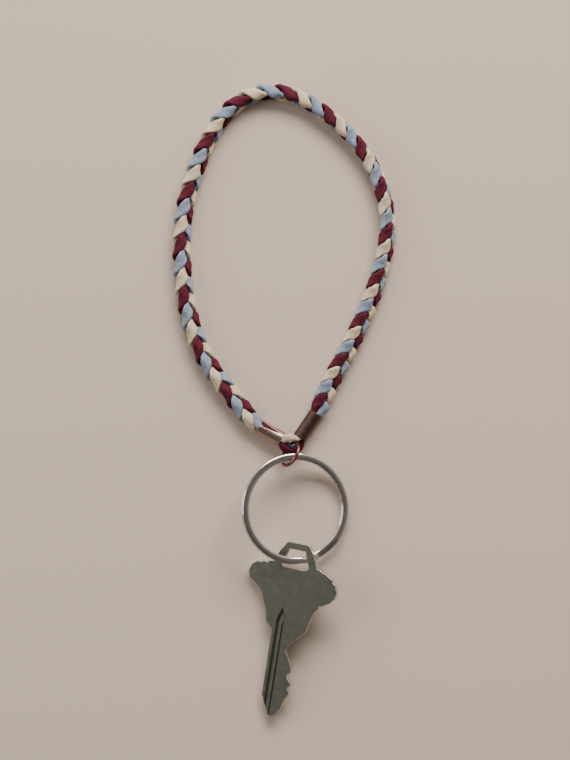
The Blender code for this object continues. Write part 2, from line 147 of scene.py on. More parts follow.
RING_OUTER = 35.5
RING_BAND = 2.3                # width of the flat wire, towards the ring's middle
RING_COIL = 1.05               # thickness of one coil
RING_PITCH = 1.25              # spacing of the two coils
RING_CENTRE = Vector((3.6, -34.6, 6.35))
RING_TILT = 17.0               # left side up
RING_STEP_AT = -47.0           # where the wire steps from one coil to the other, from +X
RING_STEP_HALF = 15.0          # half the angle that the step takes
RING_END_GAP = 3.0             # angle between the step and each end of the wire
RING_STEPS = 360
RING_SIDES = 28
RING_SQUARENESS = 2.6          # of the flat wire's section, where 2 is an ellipse
RING_END_LENGTH = 0.12         # of the eased end of the wire
RING_END_SIZE = 0.86           # of the wire's section at that end

KEY_THICKNESS = 2.0
KEY_HEADING = 9.0              # lean of its length away from +Y, top to the right
KEY_ROLL = 19.0                # right side up
KEY_PITCH = 4.2                # bow end up
KEY_PIVOT_FROM_TIP = 50.4
KEY_PIVOT_AT = -88.0           # where the key hangs on the split ring, from +X
KEY_PIVOT_INSET = 0.45         # its axis is a chord of the ring, inside the wire's middle line
KEY_PIVOT_RISE = 0.15          # height of that axis over the wire's middle
KEY_RISE = 0.1                 # height of the key's middle plane over its axis
KEY_EDGE = 0.20                # how far the rim is eased
KEY_CORNER = 0.38              # how far the outline's corners are rounded
CORNER_SHARE = 0.42            # of a side, at most, that one corner's curve takes
CORNER_STEPS = 4
# Outline from the tip: up the left edge, then down the right one; each point is how far right
# of the key's middle line and how far from the tip it is
KEY_LEFT = [(-1.2, -0.5), (-3.6, 4.4), (-4.4, 6.0), (-4.5, 27.0), (-6.9, 29.4), (-7.4, 32.7),
            (-9.1, 36.4), (-9.8, 38.3), (-12.3, 40.8), (-13.8, 41.7), (-14.7, 42.8),
            (-15.1, 44.1), (-14.6, 46.0), (-13.4, 47.2), (-11.4, 47.6), (-9.4, 47.9),
            (-7.4, 48.6), (-5.9, 52.2), (-3.7, 55.6)]
KEY_RIGHT = [(3.7, 55.6), (5.9, 52.2), (7.4, 48.6), (9.4, 47.8), (12.0, 46.7), (14.1, 44.5),
             (15.1, 42.5), (14.6, 40.2), (12.3, 38.2), (9.9, 37.2), (8.8, 35.2), (7.7, 32.1),
             (6.8, 28.3), (4.4, 25.6), (2.4, 23.4), (1.3, 22.2), (1.3, 20.9), (2.4, 19.2),
             (4.0, 16.0), (4.0, 14.6), (2.9, 13.6), (2.9, 12.8), (4.5, 11.2), (4.6, 10.4),
             (3.6, 9.3), (4.4, 8.3), (4.4, 7.5), (3.2, 5.3), (2.4, 2.4), (0.6, -0.1)]
KEY_HOLE = [(-2.7, 53.5), (2.7, 53.5), (4.6, 48.4), (4.0, 47.5), (-4.0, 47.5), (-4.6, 48.4)]
LEFT_SCALLOPS = (9, 16)        # first and last point of the bow's scalloped edges
RIGHT_SCALLOPS = (2, 10)
SCALLOP_CHORD = 2.2
SCALLOP_RISE = 0.38
SCALLOP_STEPS = 5
# Each groove: its opening on the face, its bottom, its depth, and the face it is milled in
GROOVES = {
    "wide_groove": ([(-3.35, -2.0), (-0.65, -2.0), (-0.65, 31.4), (-1.9, 34.8), (-3.35, 30.6)],
                    [(-2.55, -2.0), (-0.80, -2.0), (-0.80, 30.8), (-1.75, 33.0), (-2.55, 29.8)],
                    0.50, 1),
    "deep_groove": ([(-1.60, -2.0), (-0.72, -2.0), (-0.72, 31.0), (-1.60, 29.4)],
                    [(-1.35, -2.0), (-0.82, -2.0), (-0.82, 30.4), (-1.35, 29.0)], 0.90, 1),
    "back_groove": ([(-1.3, -2.0), (0.8, -2.0), (0.8, 25.5), (-0.25, 28.4), (-1.3, 25.5)],
                    [(-0.9, -2.0), (0.5, -2.0), (0.5, 25.1), (-0.2, 27.0), (-0.9, 25.1)],
                    0.45, -1),
}
CUTTER_SPARE = 0.5             # how far a groove's cutter stands out of the face
FLAT = 0.94                    # a face is flat where its normal rises at least this much


# ---------------------------------------------------------------- camera, floor and light

VIEW_CENTRE = Vector((0.3, 6.4, 0.0))
VIEW_HEIGHT = 242.8            # length of table that the picture's height takes in
CAMERA_RISE = 1600.0
SENSOR = 36.0

# Lights, in metres: location, size, power and colour
WINDOW = ((0.20, 0.85, 0.62), (0.85, 0.42), 17.0, (1.0, 0.97, 0.93))
LEFT_FILL = ((-0.75, 0.10, 0.45), (0.5, 0.5), 2.4, (0.93, 0.96, 1.0))
SKY_COLOUR = (0.95, 0.90, 0.87, 1.0)
# The sky is brighter towards the window and darker overhead: direction, then strength
SKY_AWAY = ((-0.5, 0.75), (0.22, 1.05))
SKY_OVERHEAD = ((0.40, 0.85), (1.0, 0.26))
FLOOR_SIZE = 6.0
FLOOR_DROP = 0.00002           # just below the lowest lace
FLOOR_COLOUR = (0.66, 0.53, 0.43)


def add_camera():
    data = bpy.data.cameras.new("camera")
    data.sensor_width = SENSOR
    data.lens = SENSOR * CAMERA_RISE / VIEW_HEIGHT
    data.clip_start = 0.01
    data.clip_end = 10.0
    camera = bpy.data.objects.new("camera", data)
    camera.location = (VIEW_CENTRE + CAMERA_RISE * UP) * MM
    bpy.context.scene.collection.objects.link(camera)
    bpy.context.scene.camera = camera


def add_light(name, location, size, power, colour):
    """A rectangular light that faces the frame's origin."""
    data = bpy.data.lights.new(name, "AREA")
    data.shape = "RECTANGLE"
    data.size, data.size_y = size
    data.energy = power
    data.color = colour
    light = bpy.data.objects.new(name, data)
    light.location = location
    light.rotation_euler = (-Vector(location)).to_track_quat("-Z", "Y").to_euler()
    bpy.context.scene.collection.objects.link(light)


def map_range(tree, source, taken, given):
    """A node that takes one range to another, and holds its ends."""
    made = tree.nodes.new("ShaderNodeMapRange")
    made.clamp = True
    made.inputs["From Min"].default_value, made.inputs["From Max"].default_value = taken
    made.inputs["To Min"].default_value, made.inputs["To Max"].default_value = given
    tree.links.new(source, made.inputs["Value"])
    return made.outputs[0]


def add_lights():
    add_light("window_light", *WINDOW)
    add_light("left_light", *LEFT_FILL)
    world = bpy.data.worlds.new("studio")
    bpy.context.scene.world = world
    world.use_nodes = True
    tree = world.node_tree
    background = tree.nodes["Background"]
    background.inputs["Color"].default_value = SKY_COLOUR
    direction = tree.nodes.new("ShaderNodeTexCoord").outputs["Generated"]
    parts = tree.nodes.new("ShaderNodeSeparateXYZ")
    tree.links.new(direction, parts.inputs[0])
    away = map_range(tree, parts.outputs["Y"], *SKY_AWAY)
    overhead = map_range(tree, parts.outputs["Z"], *SKY_OVERHEAD)
    strength = tree.nodes.new("ShaderNodeMath")
    strength.operation = "MULTIPLY"
    tree.links.new(away, strength.inputs[0])
    tree.links.new(overhead, strength.inputs[1])
    tree.links.new(strength.outputs[0], background.inputs["Strength"])


def add_floor():
    mesh = bpy.data.meshes.new("floor")
    shape = bmesh.new()
    bmesh.ops.create_grid(shape, x_segments=1, y_segments=1, size=FLOOR_SIZE)
    shape.to_mesh(mesh)
    shape.free()
    floor = bpy.data.objects.new("floor", mesh)
    floor.location.z = -FLOOR_DROP
    bpy.context.scene.collection.objects.link(floor)
    mesh.materials.append(Shader("floor_paint", FLOOR_COLOUR, 0.75, 0.0).material)


# ---------------------------------------------------------------- material helpers

class Shader:
    """A Principled material, with short calls for the nodes that feed it."""

    def __init__(self, name, colour, roughness, metallic):
        self.material = bpy.data.materials.new(name)
        self.material.use_nodes = True
        self.material.diffuse_color = (*colour, 1.0)
        self.tree = self.material.node_tree
        self.out = self.tree.nodes["Principled BSDF"]
        self.set("Base Color", (*colour, 1.0))
        self.set("Roughness", roughness)
        self.set("Metallic", metallic)

    def set(self, socket, value):
        self.out.inputs[socket].default_value = value

    def feed(self, socket, source):
        self.tree.links.new(source, self.out.inputs[socket])

    def node(self, kind, settings=None, **inputs):
        made = self.tree.nodes.new(kind)
        for key, value in (settings or {}).items():
            setattr(made, key, value)
        for key, value in inputs.items():
            socket = made.inputs[key.replace("_", " ")]
            if isinstance(value, bpy.types.NodeSocket):
                self.tree.links.new(value, socket)
            else:
                socket.default_value = value
        return made

    def place(self):
        return self.node("ShaderNodeTexCoord").outputs["Object"]

    def stored(self, name):
        return self.node("ShaderNodeAttribute", {"attribute_name": name}).outputs["Fac"]

    def noise(self, vector, size, detail, rough):
        """Noise with features about size millimetres across."""
        return self.node("ShaderNodeTexNoise", Vector=vector, Scale=1 / (size * MM),
                         Detail=detail, Roughness=rough).outputs["Fac"]

    def math(self, operation, first, second):
        made = self.node("ShaderNodeMath", {"operation": operation})
        for index, value in enumerate((first, second)):
            if isinstance(value, bpy.types.NodeSocket):
                self.tree.links.new(value, made.inputs[index])
            else:
                made.inputs[index].default_value = value
        return made.outputs[0]

    def total(self, *parts):
        """The sum of sources, each given with its weight."""
        (source, weight), *rest = parts
        term = self.math("MULTIPLY", source, weight)
        return self.math("ADD", term, self.total(*rest)) if rest else term

    def ramp(self, source, low, high, start, stop):
        """The source's range low to high, taken to start to stop, and held beyond it."""
        return self.node("ShaderNodeMapRange", {"clamp": True}, Value=source, From_Min=low,
                         From_Max=high, To_Min=start, To_Max=stop).outputs[0]

    def mix(self, share, first, second):
        made = self.node("ShaderNodeMix", {"data_type": "RGBA"})
        for index, value in ((0, share), (6, first), (7, second)):
            if isinstance(value, bpy.types.NodeSocket):
                self.tree.links.new(value, made.inputs[index])
            elif index == 0:
                made.inputs[0].default_value = value
            else:
                made.inputs[index].default_value = (*value, 1.0)
        return made.outputs[2]

    def bump(self, height, depth, strength):
        """Relief of depth millimetres between the height's 0 and 1."""
        return self.node("ShaderNodeBump", Height=height, Strength=strength,
                         Distance=depth * MM).outputs[0]


# ---------------------------------------------------------------- curves and lines

def smooth_line(points, before, after, steps=24):
    """Catmull-Rom curve through the points; before and after set its end directions."""
    knots = [before, *points, after]
    line = []
    for p0, p1, p2, p3 in zip(knots, knots[1:], knots[2:], knots[3:]):
        for step in range(steps):
            t = step / steps
            line.append(0.5 * (2 * p1 + (p2 - p0) * t + (2 * p0 - 5 * p1 + 4 * p2 - p3) * t ** 2
                               + (3 * p1 - p0 - 3 * p2 + p3) * t ** 3))
    line.append(points[-1].copy())
    return line


class Line:
    """A dense polyline, read by the distance along it."""

    def __init__(self, points):
        self.points = points
        self.along = [0.0]
        for start, stop in zip(points, points[1:]):
            self.along.append(self.along[-1] + (stop - start).length)
        self.length = self.along[-1]

    def place(self, distance):
        """Index of the segment that holds this distance, and the share of it that is passed."""
        low, high = 0, len(self.points) - 1
        while high - low > 1:
            middle = (low + high) // 2
            if self.along[middle] <= distance:
                low = middle
            else:
                high = middle
        return low, (distance - self.along[low]) / (self.along[high] - self.along[low])

    def at(self, distance):
        index, share = self.place(min(max(distance, 0.0), self.length))
        return self.points[index].lerp(self.points[index + 1], share)

    def heading(self, distance, reach=0.4):
        return (self.at(distance + reach) - self.at(distance - reach)).normalized()


def read_table(table, x):
    for (x0, y0), (x1, y1) in zip(table, table[1:]):
        if x <= x1:
            break
    return y0 + (y1 - y0) * min(max((x - x0) / (x1 - x0), 0.0), 1.0)


def smoothstep(x):
    x = min(max(x, 0.0), 1.0)
    return x * x * (3 - 2 * x)


def blend_pair(first, second, share):
    return tuple(a + (b - a) * share for a, b in zip(first, second))


# ---------------------------------------------------------------- laces: the line each follows

def plait_offset(turn, half_width, half_depth, wide, deep):
    return half_width * math.sin(turn) * wide + half_depth * math.sin(2 * turn) * deep


def rest_height(half_width, half_depth, roll):
    """Height of the middle line at which the plait rests on the table."""
    wide = Vector((math.cos(roll), 0, math.sin(roll)))
    deep = Vector((math.sin(roll), 0, -math.cos(roll)))
    return LACE_RADIUS + max(-plait_offset(math.radians(angle), half_width, half_depth,
                                           wide, deep).z for angle in range(0, 360, 10))


def face_in_plait(turn, wide, deep):
    """Direction that a lace's flat side faces at this place in the plait's cycle."""
    swing = math.asin(FACE_SWING * math.cos(turn)) / math.asin(FACE_SWING)
    lean = math.radians(FACE_LEAN) * swing
    return math.cos(lean) * wide + math.sin(lean) * deep


def plait_path(lag):
    """Points, faces and sections of one lace from the left tube round to the right one."""
    start = LEFT_TUBE[0]
    flat = [Vector((x, y, 0)) for x, y in ROUTE]
    route = Line(smooth_line(flat, flat[0] + (LEFT_TUBE[1] - start) * Vector((1, 1, 0)),
                             flat[-1] + (RIGHT_TUBE[1] - RIGHT_TUBE[0]) * Vector((1, 1, 0))))
    all_turns, woven_to = PLAIT_AT[-1]
    count = round(all_turns * POINTS_PER_TURN)
    stops = [(PLAIT_AT[0][1] * step / STRAIGHT_STEPS, 0.0) for step in range(STRAIGHT_STEPS)]
    for index in range(count + 1):
        turns = all_turns * index / count
        stops.append((read_table(PLAIT_AT, turns), turns))
    stops += [(woven_to + (route.length - woven_to) * (step + 1) / STRAIGHT_STEPS, all_turns)
              for step in range(STRAIGHT_STEPS)]
    path = []
    for distance, turns in stops:
        full = smoothstep(min(distance, route.length - distance) / GATHER)
        half_width = LACES_TO_AXIS + (PLAIT_HALF_WIDTH - LACES_TO_AXIS) * full
        half_depth = LACES_TO_AXIS + (PLAIT_HALF_DEPTH - LACES_TO_AXIS) * full
        roll = math.radians(read_table(ROLL_AT, distance / route.length))
        height = start.z + (rest_height(half_width, half_depth, roll) - start.z) * full
        roll -= math.radians(GATHER_TURN) * (1 - smoothstep(distance / GATHER))
        outward = UP.cross(route.heading(distance))
        wide = math.cos(roll) * outward + math.sin(roll) * UP
        deep = math.sin(roll) * outward - math.cos(roll) * UP
        turn = math.radians(90 - lag) + math.tau * turns
        offset = plait_offset(turn, half_width, half_depth, wide, deep)
        face = offset.normalized().lerp(face_in_plait(turn, wide, deep), full)
        if offset.dot(face_in_plait(turn, wide, deep)) < 0:
            face = offset.normalized().lerp(-face_in_plait(turn, wide, deep), full)
        path.append((route.at(distance) + height * UP + offset, face,
                     (*blend_pair(IN_TUBE, IN_PLAIT, full), 0.0)))
    return path


def tube_path(tube, turn, lag, first, last, travel):
    """Points, faces and sections of one lace inside a tube, between two shares of it."""
    outer, mouth = tube
    heading = (mouth - outer).normalized() * travel
    side = UP.cross(heading).normalized()
    above = heading.cross(side)
    path = []
    for step in range(TUBE_STEPS + 1):
        share = first + (last - first) * step / TUBE_STEPS
        angle = math.radians(read_table(turn, share) + lag)
        away = math.cos(angle) * side + math.sin(angle) * above
        path.append((outer.lerp(mouth, share) + LACES_TO_AXIS * away, away, (*IN_TUBE, 0.0)))
    return path


def bridge_path(name, leaving, entering):
    """One bare lace between the tubes' mouths."""
    knots = [leaving[-1][0], *[Vector(knot) for knot in BRIDGE[name]], entering[0][0]]
    line = smooth_line(knots, leaving[-5][0], entering[4][0], steps=12)
    path = []
    for index, point in enumerate(line[1:-1], 1):
        share = index / (len(line) - 1)
        middle = smoothstep(4 * min(share, 1 - share))
        near = leaving[-1][1] if share < 0.5 else entering[0][1]
        facing = BRIDGE_FACES[name]
        if near.dot(facing) < 0:
            near = -near
        neck = 1 - LEAN_NECK * smoothstep(6 * share) * smoothstep(3 * (0.6 - share))
        width, depth = blend_pair(IN_TUBE, IN_BRIDGE[name], middle)
        path.append((point, near.lerp(facing, middle), (neck * width, neck * depth, middle)))
    return path


def lace_path(name):
    """One lace: half the right tube, the bridge, the left tube, the plait, back inside."""
    lag = LACE_LAG[name]
    half_gap = 0.5 * END_GAP / (RIGHT_TUBE[1] - RIGHT_TUBE[0]).length
    leaving = tube_path(RIGHT_TUBE, RIGHT_TUBE_TURN, lag, 0.5 + half_gap, 1.0, 1)
    entering = tube_path(LEFT_TUBE, LEFT_TUBE_TURN, lag, 1.0, 0.0, -1)
    arriving = tube_path(RIGHT_TUBE, RIGHT_TUBE_TURN, lag, 0.0, 0.5 - half_gap, 1)
    return (leaving + bridge_path(name, leaving, entering) + entering[:-1] + plait_path(lag)
            + arriving[1:])


# One section: its middle, the directions of its flat side and its width, its half width and
# half thickness, and how far it is in the open between the tubes, from 0 to 1
Ring = namedtuple("Ring", "middle face across size bare")


class Lace:
    """Evenly spaced sections along one lace, and a search tree of its middle line."""

    def __init__(self, name):
        path = lace_path(name)
        self.name = name
        self.line = Line([point for point, _, _ in path])
        count = round(self.line.length / RING_STEP)
        self.rings = []
        before = None
        for index in range(count + 1):
            distance = self.line.length * index / count
            place, share = self.line.place(distance)
            heading = self.line.heading(distance, 0.15)
            first, second = path[place][1], path[place + 1][1]
            if first.dot(second) < 0:
                second = -second
            face = first.lerp(second, share)
            face = (face - face.dot(heading) * heading).normalized()
            if before and before.dot(face) < 0:
                face = -face
            if before:
                face = before.lerp(face, 0.5)
                face = (face - face.dot(heading) * heading).normalized()
            before = face
            size = blend_pair(path[place][2], path[place + 1][2], share)
            self.rings.append(Ring(self.line.at(distance), face, heading.cross(face), size[:2],
                                   size[2]))
        self.tree = kdtree.KDTree(len(self.rings) * 3)
        step = self.line.length / (len(self.rings) * 3 - 1)
        for index in range(len(self.rings) * 3):
            self.tree.insert(self.line.at(index * step), index)
        self.tree.balance()


# ---------------------------------------------------------------- laces: their surfaces

def node_tree(*names):
    """A search tree of CAD nodes' faces, in millimetres."""
    points = []
    faces = []
    for name in names:
        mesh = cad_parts[name].data
        base = len(points)
        points += [vert.co / MM for vert in mesh.vertices]
        faces += [[base + index for index in face.vertices] for face in mesh.polygons]
    return BVHTree.FromPolygons(points, faces)


def in_tube(point):
    """Distance from the nearer tube's axis, or None beyond both tubes."""
    for outer, mouth in (LEFT_TUBE, RIGHT_TUBE):
        axis = mouth - outer
        share = (point - outer).dot(axis) / axis.length_squared
        if 0.0 <= share <= 1.0:
            away = (point - outer.lerp(mouth, share)).length
            if away < TUBE_RADIUS:
                return away
    return None


def reach(lace, others, metal, ring, direction, limit):
    """How far a section goes in one direction before it meets its limit or a neighbour."""
    middle = ring.middle
    near_metal = metal.find_nearest(middle, NEAR_METAL)[0] is not None
    if near_metal:
        hit = metal.ray_cast(middle, direction, limit + OFF_METAL)[3]
        if hit is not None:
            limit = max(hit - OFF_METAL, LEAST_REACH)

    def free(far):
        point = middle + far * direction
        if lace.tree.find(point)[2] < OWN_BEND * far:
            return False
        for other in others:
            yields = 1 + (FIRMNESS[lace.name] / FIRMNESS[other.name] - 1) * ring.bare
            if other.tree.find(point)[2] < far * yields + BETWEEN_LACES:
                return False
        if near_metal:
            if metal.find_nearest(point, OFF_METAL)[0] is not None:
                return False
            away = in_tube(point)
            if away is not None and away > TUBE_RADIUS - FROM_TUBE_SKIN:
                return False
        return True

    if free(limit):
        return limit
    low, high = 0.0, limit
    for _ in range(HALVINGS):
        halfway = 0.5 * (low + high)
        if free(halfway):
            low = halfway
        else:
            high = halfway
    return low


def smoothed(rows):
    """The reaches, averaged a little with their neighbours round and along the lace."""
    round_it = [[0.25 * row[side - 1] + 0.5 * row[side] + 0.25 * row[(side + 1) % SIDES]
                 for side in range(SIDES)] for row in rows]
    along_it = [[0.25 * a + 0.5 * b + 0.25 * c for a, b, c in zip(before, row, after)]
                for before, row, after in zip(round_it, round_it[1:], round_it[2:])]
    return [round_it[0], *along_it, round_it[-1]]


def skin(name, loops):
    """A closed smooth skin over loops of points, in millimetres, that follow each other."""
    mesh = bpy.data.meshes.new(name)
    shape = bmesh.new()
    rows = [[shape.verts.new(point * MM) for point in loop] for loop in loops]
    sides = len(rows[0])
    for row, following in zip(rows, rows[1:]):
        for side in range(sides):
            after = (side + 1) % sides
            shape.faces.new((row[side], row[after], following[after], following[side]))
    shape.faces.new(reversed(rows[0]))
    shape.faces.new(rows[-1])
    bmesh.ops.recalc_face_normals(shape, faces=shape.faces)
    shape.to_mesh(mesh)
    shape.free()
    mesh.shade_smooth()
    return mesh


def lace_mesh(lace, others, metal):
    """The lace's skin: each section spreads until it meets its neighbours."""
    angles = [math.tau * side / SIDES for side in range(SIDES)]
    rows = []
    limits = []
    for ring in lace.rings:
        half_width, half_depth = ring.size
        limits.append([(abs(math.cos(angle) / half_width) ** LACE_SQUARENESS
                        + abs(math.sin(angle) / half_depth) ** LACE_SQUARENESS)
                       ** (-1 / LACE_SQUARENESS) for angle in angles])
        rows.append([reach(lace, others, metal, ring,
                           math.sin(angle) * ring.face + math.cos(angle) * ring.across, limit)
                     for angle, limit in zip(angles, limits[-1])])
    rows = [[min(soft, free) for soft, free in zip(soft_row, free_row)]
            for soft_row, free_row in zip(smoothed(rows), rows)]
    loops = []
    along = []
    across = []
    pressed = []
    painted_bridge_shade = []
    for index, (ring, row, row_limits) in enumerate(zip(lace.rings, rows, limits)):
        loop = []
        for angle, far, limit in zip(angles, row, row_limits):
            away = math.sin(angle) * ring.face + math.cos(angle) * ring.across
            point = ring.middle + far * away
            point.z = max(point.z, LEAST_HEIGHT)
            loop.append(point)
            along.append(index * RING_STEP * MM)
            across.append(math.cos(angle) * far * MM)
            # Painted shade where a lace is squeezed by its neighbours
            pressed.append(min(max(1.0 - far / limit, 0.0) * PRESSED_GAIN, 1.0))
            # Painted shade on the bare laces between the tubes
            painted_bridge_shade.append(ring.bare * BRIDGE_PAINTED_SHADE[lace.name])
        loops.append(loop)
    mesh = skin(lace.name + "_skin", loops)
    for name, values in (("along", along), ("across", across), ("pressed", pressed),
                         ("painted_bridge_shade", painted_bridge_shade)):
        mesh.attributes.new(name, "FLOAT", "POINT").data.foreach_set("value", values)
    return mesh


# Each lace's colour, and the shade and the light of its mottling
LACE_COLOURS = {
    "cream_lace": ((0.67, 0.53, 0.36), (0.55, 0.42, 0.27), (0.76, 0.63, 0.45)),
    "blue_lace": ((0.25, 0.30, 0.39), (0.18, 0.225, 0.30), (0.32, 0.375, 0.46)),
    "burgundy_lace": ((0.095, 0.008, 0.022), (0.060, 0.005, 0.014), (0.13, 0.013, 0.032)),
}
NAP_SIZE = 0.16
NAP_DEPTH = 0.08
FIBRE_SIZE = 0.22
FIBRE_STRETCH = 0.35           # along the lace; less is longer
PATCH_SIZE = 1.1
PAINTED_SHADE_LIGHTNESS = 0.30                  # lightness of the painted shade in creases and between the tubes, as a share of the shade colour


def suede(name, colour, shade, light):
    """Short-napped suede, mottled, fibres along the lace; painted shade in pressed creases and
    between tubes.
    """
    made = Shader(name, colour, 0.88, 0.0)
    place = made.place()
    strip = made.node("ShaderNodeCombineXYZ", Y=made.stored("across"), Z=0.0,
                      X=made.math("MULTIPLY", made.stored("along"), FIBRE_STRETCH)).outputs[0]
    nap = made.noise(place, NAP_SIZE, 4.0, 0.65)
    fibres = made.noise(strip, FIBRE_SIZE, 3.0, 0.6)
    patches = made.noise(place, PATCH_SIZE, 2.0, 0.5)
    tone = made.total((nap, 0.35), (fibres, 0.30), (patches, 0.35))
    cloth = made.mix(made.ramp(tone, 0.41, 0.59, 0.0, 1.0), shade, light)
    # Painted shade: darker where a lace is pressed by its neighbours, and on the bare laces
    # between the tubes
    painted_shade = made.math("MAXIMUM", made.ramp(made.stored("pressed"), 0.15, 1.0, 0.0, 0.55),
                       made.stored("painted_bridge_shade"))
    made.feed("Base Color", made.mix(painted_shade, cloth, tuple(PAINTED_SHADE_LIGHTNESS * part for part in shade)))
    made.feed("Roughness", made.ramp(nap, 0.3, 0.7, 0.80, 0.96))
    made.set("Sheen Weight", 0.35)
    made.set("Sheen Roughness", 0.45)
    made.set("Sheen Tint", (*light, 1.0))
    made.set("Specular IOR Level", 0.25)
    made.feed("Normal", made.bump(made.total((nap, 0.6), (fibres, 0.4)), NAP_DEPTH, 0.8))
    return made.material


def add_laces():
    laces = [Lace(name) for name in LACE_LAG]
    metal = node_tree("left_crimp_tube", "right_crimp_tube", "jump_ring", "split_ring")
    for lace in laces:
        others = [other for other in laces if other is not lace]
        piece = bpy.data.objects.new(lace.name + "_suede", lace_mesh(lace, others, metal))
        bpy.context.scene.collection.objects.link(piece)
        piece.data.materials.append(suede(lace.name + "_suede", *LACE_COLOURS[lace.name]))
        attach(piece, "strap")
        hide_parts(lace.name)


# ---------------------------------------------------------------- metal: finishes

CLOUD_SIZE = 2.2
SPECK_SIZE = 0.30
SCRATCH_SIZE = 0.10
SCRATCH_DEPTH = 0.010


def plated(name, colour, worn, roughness, grain, tarnish=0.5, unevenness=1.0):
    """Plated metal: cloudy tarnish, fine scratches and a surface that is never quite even."""
    made = Shader(name, colour, roughness, 1.0)
    place = made.place()
    clouds = made.noise(place, CLOUD_SIZE, 4.0, 0.6)
    specks = made.noise(place, SPECK_SIZE, 3.0, 0.7)
    drawn = made.node("ShaderNodeMapping", Vector=place, Scale=grain).outputs[0]
    scratches = made.noise(drawn, SCRATCH_SIZE, 4.0, 0.7)
    tone = made.total((clouds, 0.6), (specks, 0.4))
    made.feed("Base Color", made.mix(made.ramp(tone, 0.40, 0.62, 0.0, tarnish), colour, worn))
    rough = made.math("ADD", made.ramp(specks, 0.3, 0.7, roughness - 0.05 * unevenness,
                                       roughness + 0.08 * unevenness),
                      made.ramp(clouds, 0.35, 0.65, 0.0, 0.08 * unevenness))
    made.feed("Roughness", rough)
    relief = made.total((scratches, 0.5), (specks, 0.5))
    made.feed("Normal", made.bump(relief, SCRATCH_DEPTH * unevenness, 0.6))
    return made.material


# ---------------------------------------------------------------- metal: shapes

def swept(name, loops):
    """A closed skin over the loops, with crisp edges."""
    mesh = skin(name, loops)
    mesh.set_sharp_from_angle(angle=math.radians(CRISP))
    return mesh


def add_piece(name, mesh, material, body, node):
    """A piece that rides on a body and stands for one of the model's nodes."""
    piece = bpy.data.objects.new(name, mesh)
    bpy.context.scene.collection.objects.link(piece)
    mesh.materials.append(material)
    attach(piece, body)
    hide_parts(node)
    return piece


def tube_radius(along, angle):
    """The crimped sheet's middle radius: two shallow bites of the pliers and hammer marks."""
    bite = sum(math.exp(-((along - place) / BITE_LENGTH) ** 2) for place in BITES_AT)
    flat = BITE_DEPTH * bite * math.cos(angle) ** 2
    marks = math.sin(9.0 * along + 2.0 * angle) * math.sin(23.0 * along - 3.0 * angle)
    return TUBE_RADIUS - 0.5 * TUBE_WALL - flat + MARK_DEPTH * marks


def add_crimp_tube(name, tube, material):
    """A sheet folded round the laces, whose edges run together towards the mouth."""
    outer, mouth = tube
    outwards = (outer - mouth).normalized()
    side = UP.cross(outwards).normalized()
    above = outwards.cross(side)
    turn = math.radians(TUBE_SLIT_AT[name])
    towards = math.cos(turn) * side + math.sin(turn) * above
    across = outwards.cross(towards)
    mesh = bpy.data.meshes.new(name)
    shape = bmesh.new()
    rows = []
    for index in range(TUBE_ROWS + 1):
        along = index / TUBE_ROWS
        open_share = 1 - min(along / TUBE_SLIT_END, 1.0)
        width = max(TUBE_SLIT_WIDTH * open_share ** TUBE_SLIT_CURVE, SEAM)
        opening = width / (2 * TUBE_RADIUS)
        row = []
        for column in range(TUBE_COLUMNS + 1):
            angle = opening + (math.tau - 2 * opening) * column / TUBE_COLUMNS
            radius = tube_radius(along, angle)
            point = (outer.lerp(mouth, along)
                     + radius * (math.cos(angle) * towards + math.sin(angle) * across))
            row.append(shape.verts.new(point * MM))
        rows.append(row)
    for row, following in zip(rows, rows[1:]):
        for column in range(TUBE_COLUMNS):
            shape.faces.new((row[column], row[column + 1], following[column + 1],
                             following[column]))
    bmesh.ops.recalc_face_normals(shape, faces=shape.faces)
    shape.to_mesh(mesh)
    shape.free()
    mesh.shade_smooth()
    piece = add_piece(name + "_sheet", mesh, material, "strap", name)
    wall = piece.modifiers.new("wall", "SOLIDIFY")
    wall.thickness = TUBE_WALL * MM
    wall.offset = 0.0
    edges = piece.modifiers.new("rounded_edges", "BEVEL")
    edges.width = TUBE_EDGE * MM
    edges.segments = 3
    edges.limit_method = "ANGLE"
    edges.angle_limit = math.radians(CRISP)


def add_jump_ring(material):
    """Round wire bent to a ring, its two cut ends just apart."""
    heading = math.radians(JUMP_HEADING)
    level = Vector((math.cos(heading), math.sin(heading), 0))
    rise = math.radians(JUMP_RISE)
    long = math.cos(rise) * level + math.sin(rise) * UP
    side = UP.cross(level)
    lean = math.radians(JUMP_LEAN)
    leaning = math.sin(lean) * side + math.cos(lean) * long.cross(side)
    axis = long.cross(leaning)
    radius = 0.5 * (JUMP_OUTER - JUMP_WIRE)
    half_gap = 0.5 * JUMP_SPLIT / radius
    turns = [math.tau * side / JUMP_SIDES for side in range(JUMP_SIDES)]
    loops = []
    for step in range(-1, JUMP_STEPS + 2):
        held = min(max(step, 0), JUMP_STEPS)
        angle = half_gap + (math.tau - 2 * half_gap) * held / JUMP_STEPS
        away = math.cos(angle) * long + math.sin(angle) * leaning
        ahead = math.cos(angle) * leaning - math.sin(angle) * long
        wire = 0.5 * JUMP_WIRE - (0 if step == held else JUMP_CHAMFER)
        middle = JUMP_CENTRE + radius * away + (step - held) * JUMP_CHAMFER * ahead
        loops.append([middle + wire * (math.cos(turn) * away + math.sin(turn) * axis)
                      for turn in turns])
    add_piece("jump_ring_wire", swept("jump_ring_wire", loops), material, "jump_ring",
              "jump_ring")


def flat_wire_section():
    """Points round the split ring's flat wire, whose faces are slightly domed."""
    points = []
    for side in range(RING_SIDES):
        angle = math.tau * (side + 0.5) / RING_SIDES
        c, s = math.cos(angle), math.sin(angle)
        points.append((0.5 * RING_BAND * math.copysign(abs(c) ** (2 / RING_SQUARENESS), c),
                       0.5 * RING_COIL * math.copysign(abs(s) ** (2 / RING_SQUARENESS), s)))
    return points


